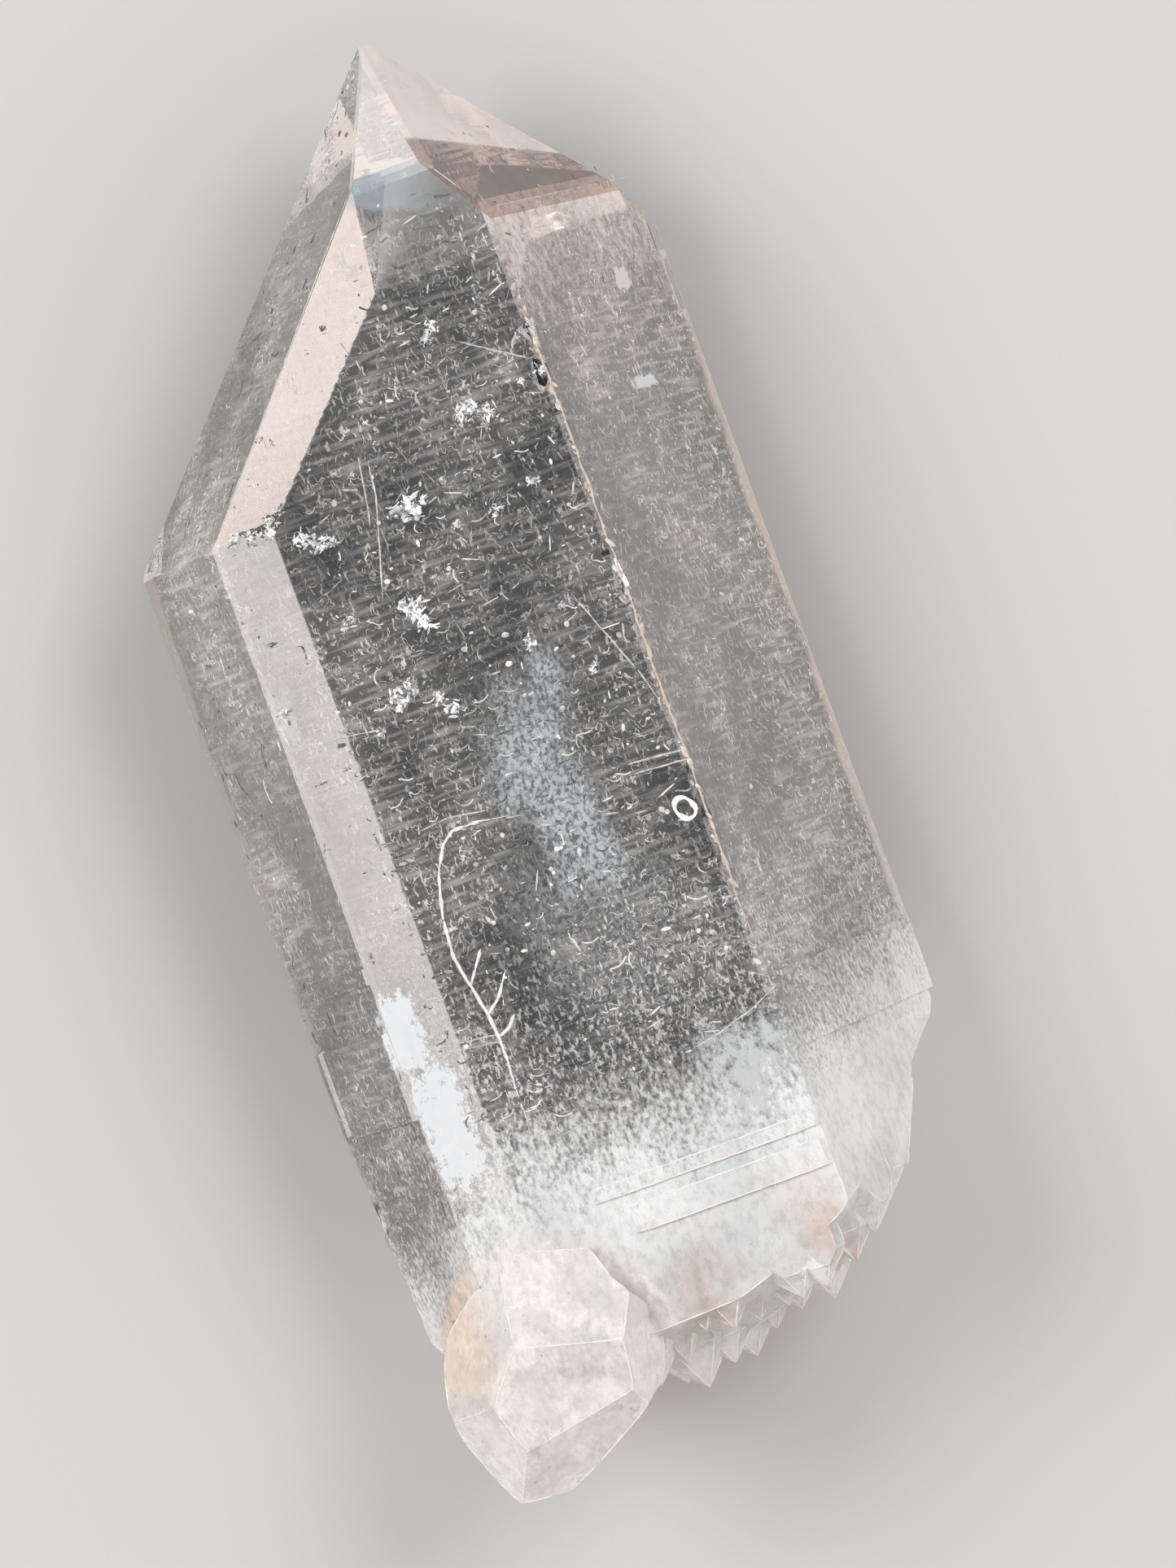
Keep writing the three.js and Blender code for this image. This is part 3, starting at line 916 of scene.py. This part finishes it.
class ThreadPattern:
    """A thread that follows drawn lines, uneven in width and thin at its ends."""

    INPUTS = {
        "Radius": 0.05, "Wander": 0.05, "Step": 0.12, "Flatness": 0.6, "Brightness": 0.8,
        "Seed": 1,
    }

    def __init__(self, material: Material) -> None:
        """Build the tree.

        Args:
            material: The threads' material.
        """
        g = GeometryTree("thread_pattern", self.INPUTS)
        curve = g.get("GeometryNodeMeshToCurve", {"Mesh": g.given("Geometry")})
        fine = g.get("GeometryNodeResampleCurve", {
            "Curve": curve, "Length": g.given("Step")}, mode="LENGTH")
        spot = g.get("GeometryNodeInputPosition")
        noise = g.add("ShaderNodeTexNoise", {
            "Vector": spot, "Scale": 1.3, "Detail": 4.0, "W": g.given("Seed")},
            noise_dimensions="4D")
        centred = g.vector("SUBTRACT", result(noise, "Color"), (0.5, 0.5, 0.5))
        level = g.vector("MULTIPLY", centred, (4.0, 4.0, 0.0))
        push = g.vector("SCALE", level, g.given("Wander"))
        bent = g.moved(fine, push)
        share = g.get("GeometryNodeSplineParameter")
        # Each end tapers over an eighth of the thread.
        from_end = g.math("MINIMUM", share, g.math("SUBTRACT", 1.0, share))
        taper = g.math("MINIMUM", g.product(from_end, 8.0), 1.0)
        knot = g.get("ShaderNodeTexNoise", {"Vector": spot, "Scale": 3.5, "Detail": 2.0})
        uneven = g.ramp(knot, 0.3, 0.7, 0.35, 1.5)
        radius = g.product(taper, uneven, g.given("Radius"))
        ring = g.get("GeometryNodeCurvePrimitiveCircle", {"Resolution": 6, "Radius": 1.0})
        tube = g.get("GeometryNodeCurveToMesh", {
            "Curve": bent, "Profile Curve": ring, "Scale": radius, "Fill Caps": True})
        middle = g.add("ShaderNodeSeparateXYZ", {0: spot})
        height = g.math("SUBTRACT", result(middle, "Z"), FRONT_HEIGHT)
        pressed = g.get("ShaderNodeCombineXYZ", {
            "Z": g.product(height, g.product(g.given("Flatness"), -1.0))})
        flat = g.moved(tube, pressed)
        self.tree = g.close(flat, g.given("Brightness"), material, "POINT")


@dataclass
class HealedCracks:
    """The healed crack with its branches, and the long scratches, on the front face.

    Each line is a list of photograph pixels.
    """

    finish: FrostFinish = FrostFinish("healed_crack", faint="#8d8f91", bright="#f7f5f1")
    cracks: tuple[Line, ...] = (
        ((630, 1002), (590, 1010), (556, 1020), (545, 1040), (539, 1070), (541, 1100), (546, 1132),
         (556, 1176), (578, 1212), (600, 1247), (614, 1275), (622, 1300), (633, 1335),
         (641, 1362)),
        ((578, 1212), (584, 1190), (590, 1166)),
        ((600, 1247), (612, 1228), (618, 1205), (622, 1192)),
        ((614, 1275), (626, 1262), (632, 1246)),
    )
    scratches: tuple[Line, ...] = (
        ((452, 560), (462, 610), (466, 670), (471, 742)),
        ((440, 560), (448, 600), (455, 650)),
        ((700, 728), (728, 760), (758, 794), (786, 826), (812, 862)),
        ((560, 420), (610, 432), (650, 440)),
        ((530, 1302), (570, 1290), (624, 1279)),
        ((528, 1290), (575, 1280), (618, 1270)),
        ((778, 952), (812, 942), (852, 930)),
        ((770, 940), (815, 928), (842, 922)),
        ((398, 912), (430, 905), (472, 896)),
        ((512, 1024), (548, 1006), (600, 996)),
        ((690, 1396), (716, 1382), (752, 1376)),
        ((960, 1205), (920, 1244), (880, 1272), (850, 1290)),
    )

    def build(self) -> list[Object]:
        """Draw the lines.

        Returns:
            The cracks and the scratches.
        """
        pattern = ThreadPattern(self.finish.material())
        cracks = grown(self._lines("healed_crack", self.cracks), pattern.tree, {
            "Radius": 0.055, "Wander": 0.04, "Brightness": 0.85, "Seed": 3})
        scratches = grown(self._lines("fine_scratches", self.scratches), pattern.tree, {
            "Radius": 0.028, "Wander": 0.03, "Brightness": 0.45, "Seed": 8})
        return [cracks, scratches]

    @staticmethod
    def _lines(name: str, lines: tuple[Line, ...]) -> Object:
        """Make a mesh of edges along the lines.

        Args:
            name: Name of the object.
            lines: Lines of photograph pixels.

        Returns:
            The object, in millimetres.
        """
        points: list[Vector] = []
        edges: list[tuple[int, int]] = []
        for line in lines:
            first = len(points)
            points += [photo_point(x, y) for x, y in line]
            edges += [(i, i + 1) for i in range(first, len(points) - 1)]
        return plain_mesh(name, points, edges, [])


class FlakePattern:
    """Clusters of small shards around points. Each point's spread says how far they reach."""

    INPUTS = {"Shards": 26, "Thickness": 0.05, "Seed": 1}

    def __init__(self, material: Material) -> None:
        """Build the tree.

        Args:
            material: The shards' material.
        """
        g = GeometryTree("flake_pattern", self.INPUTS)
        points = g.get("GeometryNodeMeshToPoints", {"Mesh": g.given("Geometry")})
        many = g.get("GeometryNodeDuplicateElements", {
            "Geometry": points, "Amount": g.given("Shards")}, domain="POINT")
        reach = g.get("GeometryNodeInputNamedAttribute", {"Name": "spread"}, data_type="FLOAT")
        angle = g.chance(0.0, math.tau, 0)
        out = g.product(g.chance(0.0, 1.0, 1), reach)
        aside = g.get("ShaderNodeCombineXYZ", {
            "X": g.product(g.math("COSINE", angle), out),
            "Y": g.product(g.math("SINE", angle), out)})
        moved = g.moved(many, aside)
        shard = g.get("GeometryNodeMeshCone", {
            "Vertices": 5, "Radius Top": 0.12, "Radius Bottom": 0.5, "Depth": 0.8})
        turn = g.chance((-0.35, -0.35, 0.0), (0.35, 0.35, math.tau), 2)
        wide = g.product(g.chance(0.25, 1.3, 3), reach)
        narrow = g.product(g.chance(0.1, 0.45, 4), reach)
        size = g.get("ShaderNodeCombineXYZ", {
            "X": wide, "Y": narrow, "Z": g.given("Thickness")})
        shards = g.get("GeometryNodeInstanceOnPoints", {
            "Points": moved, "Instance": shard, "Rotation": turn, "Scale": size})
        self.tree = g.close(shards, g.chance(0.0, 1.3, 5), material)


@dataclass
class WhiteFlakes:
    """Chips and tufts of small fractures that show bright white on the front face.

    Each place is a photograph pixel and the tuft's radius in pixels.
    """

    finish: FrostFinish = FrostFinish("fracture_tuft", faint="#6d7072", bright="#ffffff")
    places: tuple[Triple, ...] = (
        (505, 620, 17), (498, 634, 9), (580, 503, 13), (602, 506, 10), (565, 510, 8),
        (372, 662, 11), (392, 668, 10), (408, 664, 7), (510, 750, 12), (522, 764, 12),
        (500, 745, 9), (488, 862, 12), (504, 846, 9), (560, 872, 11), (540, 860, 9),
        (650, 790, 9), (610, 626, 7), (432, 762, 8), (530, 402, 8), (524, 418, 7),
        (330, 656, 9), (308, 660, 9), (288, 664, 8), (332, 642, 8), (343, 628, 5),
        (664, 455, 7), (350, 880, 9), (690, 744, 6), (730, 820, 6), (655, 590, 7),
        (640, 470, 5), (448, 520, 5), (890, 1105, 6), (876, 1060, 5), (560, 645, 5),
        (468, 900, 6),
    )
    spread: float = 1.2

    def build(self) -> Object:
        """Grow the tufts.

        Returns:
            The object of tufts.
        """
        points = [photo_point(x, y) for x, y, _ in self.places]
        seed = plain_mesh("fracture_tufts", points, [], [])
        spread = seed.data.attributes.new("spread", "FLOAT", "POINT")
        for item, (_, _, radius) in zip(spread.data, self.places):
            item.value = self.spread * radius / PIXELS_PER_MM
        pattern = FlakePattern(self.finish.material())
        return grown(seed, pattern.tree, {"Shards": 30, "Thickness": 0.06, "Seed": 5})


class BeadPattern:
    """Uneven beads along a line."""

    INPUTS = {"Spacing": 0.3, "Smallest": 0.1, "Largest": 0.34, "Kept": 0.7, "Seed": 1}

    def __init__(self, material: Material) -> None:
        """Build the tree.

        Args:
            material: The beads' material.
        """
        g = GeometryTree("bead_pattern", self.INPUTS)
        curve = g.get("GeometryNodeMeshToCurve", {"Mesh": g.given("Geometry")})
        points = g.get("GeometryNodeCurveToPoints", {
            "Curve": curve, "Length": g.given("Spacing")}, mode="LENGTH")
        shift = g.chance((-0.12, -0.05, -0.04), (0.12, 0.12, 0.0), 1)
        moved = g.moved(points, shift)
        bead = g.get("GeometryNodeMeshIcoSphere", {"Radius": 0.5, "Subdivisions": 2})
        size = g.chance((0.8, 0.35, 0.25), (1.6, 0.7, 0.4), 2)
        reach = g.chance(g.given("Smallest"), g.given("Largest"), 3)
        turn = g.chance((-0.5, -0.5, -0.7), (0.5, 0.5, 0.7), 4)
        kept = g.math("LESS_THAN", g.chance(0.0, 1.0, 6), g.given("Kept"))
        beads = g.get("GeometryNodeInstanceOnPoints", {
            "Points": moved, "Selection": kept, "Instance": bead,
            "Rotation": turn, "Scale": g.vector("SCALE", size, reach)})
        self.tree = g.close(beads, g.chance(0.0, 1.0, 5), material)


@dataclass
class BruisedEdge:
    """Pale bruises and beads along the front right prism edge."""

    finish: FrostFinish = FrostFinish("bruised_edge", faint="#b5a394", bright="#efe6dd")
    start: Pair = (634, 352)
    end: Pair = (934, 1178)

    def build(self) -> list[Object]:
        """Set the beads on an uneven thread.

        Returns:
            The beads and the thread.
        """
        line = [photo_point(*self.start), photo_point(*self.end)]
        finish = self.finish.material()
        beads = grown(plain_mesh("bruised_edge", line, [(0, 1)], []), BeadPattern(finish).tree,
                      {"Spacing": 0.2, "Kept": 0.6, "Seed": 17})
        thread = grown(plain_mesh("bruised_line", line, [(0, 1)], []), ThreadPattern(finish).tree,
                       {"Radius": 0.035, "Wander": 0.06, "Brightness": 0.35, "Seed": 19})
        return [beads, thread]


@dataclass
class WornEdgeHighlights:
    """Thin pale lines where the crystal's edges are worn: partly real wear, partly painted
    highlight where they catch the light.
    """

    finish: FrostFinish = FrostFinish("worn_edge", faint="#9c9893", bright="#f2efeb")
    tip: Triple = (21.08, -2.53, 7.57)
    front_left: Triple = (8.37, 6.66, 11.165)
    left: Triple = (8.37, 9.05, 7.015)
    right: Triple = (15.07, -9.05, 2.96)
    front_right: Triple = (15.07, -4.326, 11.16)
    base_left: Triple = (16.97, -0.78, 11.165)
    base_right: Triple = (16.97, -3.05, 11.165)
    # Where the lines along the prism stop: the front one, and those of the side faces.
    front_stop: float = -14.5
    side_stop: float = -9.0
    # Places along the axis of the growth plates' lower edges, their ends and their height. Painted
    # highlights go there, over the thin shadow that each plate casts.
    plate_highlights: tuple[float, ...] = (-13.44, -14.64)
    plate_ends: Pair = (1.7, -4.3)
    plate_rise: float = 0.07
    # Edges of the solid count from here on, if they are this sharp and a face of theirs
    # looks up at least this much.
    foot_start: float = -12.9
    sharp: float = 0.5
    upward: float = 0.1
    # Corners closer than this are joined before the edges are taken.
    weld: float = 0.001

    def build(self) -> list[Object]:
        """Draw the edges.

        Returns:
            The lines on the large faces, and those at the foot and on the short crystal.
        """
        lines = [
            (self.front_left, (self.front_stop, *self.front_left[1:])),
            (self.left, (self.side_stop, *self.left[1:])),
            (self.right, (self.side_stop, *self.right[1:])), (self.base_left, self.front_left),
            (self.front_left, self.left), (self.tip, self.base_left), (self.tip, self.base_right),
            (self.base_right, self.front_right), (self.front_right, self.right),
        ]
        points = [Vector(point) for line in lines for point in line]
        edges = [(i, i + 1) for i in range(0, len(points), 2)]
        seed = plain_mesh("worn_edges", points, edges, [])
        pattern = ThreadPattern(self.finish.material())
        outline = grown(seed, pattern.tree, {
            "Radius": 0.018, "Wander": 0.004, "Flatness": 0.0, "Brightness": 0.5, "Seed": 29})
        foot = grown(self._foot_edges(), pattern.tree, {
            "Radius": 0.024, "Wander": 0.004, "Step": 0.25, "Flatness": 0.0, "Brightness": 1.0,
            "Seed": 31})
        low, high = CAD_BOX
        for corner in foot.data.vertices:
            corner.co = [min(max(c, a), b) for c, a, b in zip(corner.co, low, high)]
        return [outline, foot]

    def _foot_edges(self) -> Object:
        """Take the sharp upper edges of the foot and of the short crystal from the solid.

        Returns:
            The object of edges, in millimetres.
        """
        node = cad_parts["quartz_crystal"]
        solid = bmesh.new()
        solid.from_mesh(node.data)
        bmesh.ops.remove_doubles(solid, verts=solid.verts, dist=self.weld * MM)
        points: list[Vector] = []
        for edge in solid.edges:
            ends = [node.matrix_world @ vert.co / MM for vert in edge.verts]
            outward = max(face.normal.z for face in edge.link_faces)
            if (len(edge.link_faces) == 2 and edge.calc_face_angle() > self.sharp
                    and edge.is_convex and outward > self.upward
                    and max(end.x for end in ends) < self.foot_start):
                points += ends
        solid.free()
        # Painted highlight lines over the plates' cast shadow.
        for place in self.plate_highlights:
            points += [Vector((place, y, FRONT_HEIGHT + self.plate_rise))
                       for y in self.plate_ends]
        return plain_mesh("worn_foot_edges", points,
                          [(i, i + 1) for i in range(0, len(points), 2)], [])


@dataclass
class ContactPit:
    """A round contact pit on the front face, with a bright ring around a dark middle."""

    finish: FrostFinish = FrostFinish("contact_pit", faint="#c9c7c4", bright="#ffffff")
    centre: Pair = (843, 993)
    radius: float = 0.3
    wall: float = 0.07
    steps: tuple[int, int] = (28, 8)
    brightness: float = 0.8

    def build(self) -> Object:
        """Make the uneven ring.

        Returns:
            The ring.
        """
        middle = photo_point(*self.centre)
        around, across = self.steps
        points: list[Vector] = []
        faces: list[tuple[int, ...]] = []
        # The ring is longer one way, and its wall swells three times around it.
        for i in range(around):
            angle = math.tau * i / around
            reach = self.radius * (1 + 0.16 * math.sin(2 * angle + 0.6) + 0.12 * math.sin(angle))
            wall = self.wall * (1 + 0.35 * math.sin(3 * angle))
            for j in range(across):
                turn = math.tau * j / across
                out = reach + wall * math.cos(turn)
                points.append(middle + Vector((
                    out * math.cos(angle), out * math.sin(angle), 0.5 * wall * math.sin(turn))))
        for i in range(around):
            for j in range(across):
                k, m = (i + 1) % around, (j + 1) % across
                faces.append((i * across + j, k * across + j, k * across + m, i * across + m))
        ring = plain_mesh("contact_pit", points, [], faces)
        ring.data.transform(Matrix.Scale(MM, 4))
        level = ring.data.attributes.new("brightness", "FLOAT", "POINT")
        for item in level.data:
            item.value = self.brightness
        ring.data.materials.append(self.finish.material())
        return ring


@dataclass(frozen=True)
class StudioFinish:
    """Matt painted board, which shows as an even pale grey."""

    name: str = "pale_board"
    colour: str = "#cfcdc9"
    roughness: float = 0.9

    def material(self) -> Material:
        """Build the material.

        Returns:
            The board material.
        """
        finish = bpy.data.materials.new(self.name)
        finish.use_nodes = True
        shader = finish.node_tree.nodes["Principled BSDF"]
        shader.inputs["Base Color"].default_value = linear(self.colour)
        shader.inputs["Roughness"].default_value = self.roughness
        return finish


@dataclass
class Studio:
    """The floor, the soft lights and the camera."""

    finish: StudioFinish = StudioFinish()
    floor_half: float = 600.0
    floor_gap: float = 0.03
    left_air: str = "#c4ccd2"
    right_air: str = "#d8d2ce"
    foot_air: str = "#fff0e8"
    top_air: str = "#7f858a"
    # The lights' distance, brightness, and the height that they aim at.
    light_away: float = 450.0
    light_radiance: float = 7.0
    aim_height: float = 6.0

    def floor(self) -> Object:
        """Lay the floor.

        Returns:
            The floor.
        """
        half = self.floor_half
        corners = [Vector((x * half, y * half, -self.floor_gap))
                   for x, y in ((-1, -1), (1, -1), (1, 1), (-1, 1))]
        board = plain_mesh("floor", corners, [], [(0, 1, 2, 3)])
        board.data.transform(Matrix.Scale(MM, 4))
        board.data.materials.append(self.finish.material())
        return board

    def soft_light(self, name: str, towards: Vector, width: float, colour: str) -> None:
        """Hang a soft square light that faces the crystal.

        Args:
            name: Name of the light.
            towards: Direction from the crystal to the light.
            width: Width in millimetres.
            colour: Its sRGB colour.
        """
        lamp = bpy.data.lights.new(name, "AREA")
        lamp.shape = "RECTANGLE"
        lamp.size = lamp.size_y = width * MM
        lamp.energy = self.light_radiance * math.pi * lamp.size * lamp.size_y
        lamp.color = linear(colour)[:3]
        holder = bpy.data.objects.new(name, lamp)
        centre = Vector((0.0, 0.0, self.aim_height * MM))
        direction = towards.normalized()
        holder.location = centre + direction * self.light_away * MM
        holder.rotation_euler = direction.to_track_quat("Z", "Y").to_euler()
        bpy.context.scene.collection.objects.link(holder)

    def lights(self) -> None:
        """Hang the lights and set the surroundings."""
        self.soft_light("key_softbox", Vector((0.35, 0.55, 0.76)), 200, "#fffaf4")
        self.soft_light("fill_softbox", Vector((0.25, -0.45, 0.87)), 180, "#f6faff")
        self.air()

    def air(self) -> None:
        """Surround the crystal with soft light, brighter past its foot and darker overhead."""
        world = bpy.data.worlds.new("studio_air")
        world.use_nodes = True
        sky = TreeBuilder(world.node_tree)
        place = result(sky.add("ShaderNodeTexCoord"), "Generated")
        axes = sky.add("ShaderNodeSeparateXYZ", {0: place})
        colour: Any = linear(self.left_air)
        # Axis, where along it the shade starts and is full, and the shade.
        for axis, start, end, shade in ((1, 0.3, -0.5, self.right_air),
                                        (0, -0.35, -0.7, self.foot_air),
                                        (2, 0.8, 0.97, self.top_air)):
            colour = sky.blend(colour, shade, sky.ramp(result(axes, axis), start, end))
        sky.tree.links.new(colour, sky.tree.nodes["Background"].inputs["Color"])
        bpy.context.scene.world = world

    def camera(self) -> None:
        """Set the camera at the photograph's angle, looking straight down."""
        lens = bpy.data.cameras.new("photo_camera")
        height_mm = PHOTO_SIZE[1] / PIXELS_PER_MM
        lens.sensor_fit = "VERTICAL"
        lens.angle_y = 2 * math.atan(height_mm / 2 / EYE_ABOVE_FRONT)
        lens.clip_start = 0.01
        lens.clip_end = 10.0
        holder = bpy.data.objects.new("photo_camera", lens)
        holder.location = (EYE.x * MM, EYE.y * MM, (FRONT_HEIGHT + EYE_ABOVE_FRONT) * MM)
        holder.rotation_euler = (0.0, 0.0, -math.pi / 2 - AXIS_TURN)
        bpy.context.scene.collection.objects.link(holder)
        bpy.context.scene.camera = holder

    def settings(self) -> None:
        """Set how light is traced. Light that a facet focuses is left out, as it is all noise."""
        scene = bpy.context.scene
        scene.cycles.caustics_refractive = False
        scene.cycles.caustics_reflective = False
        scene.cycles.max_bounces = 12
        scene.cycles.transmission_bounces = 12
        scene.cycles.glossy_bounces = 6
        scene.view_settings.view_transform = "Standard"


def main() -> None:
    """Build the studio and every piece."""
    logging.basicConfig(level=logging.INFO, format="%(message)s")
    studio = Studio()
    studio.camera()
    studio.floor()
    studio.lights()
    studio.settings()
    CrystalBody().dress()
    pieces = [*EtchedFaces().build(), *HealedCracks().build(),
              WhiteFlakes().build(), *BruisedEdge().build(), *WornEdgeHighlights().build(),
              ContactPit().build()]
    for piece in pieces:
        finish_piece(piece)


if __name__ == "__main__":
    main()
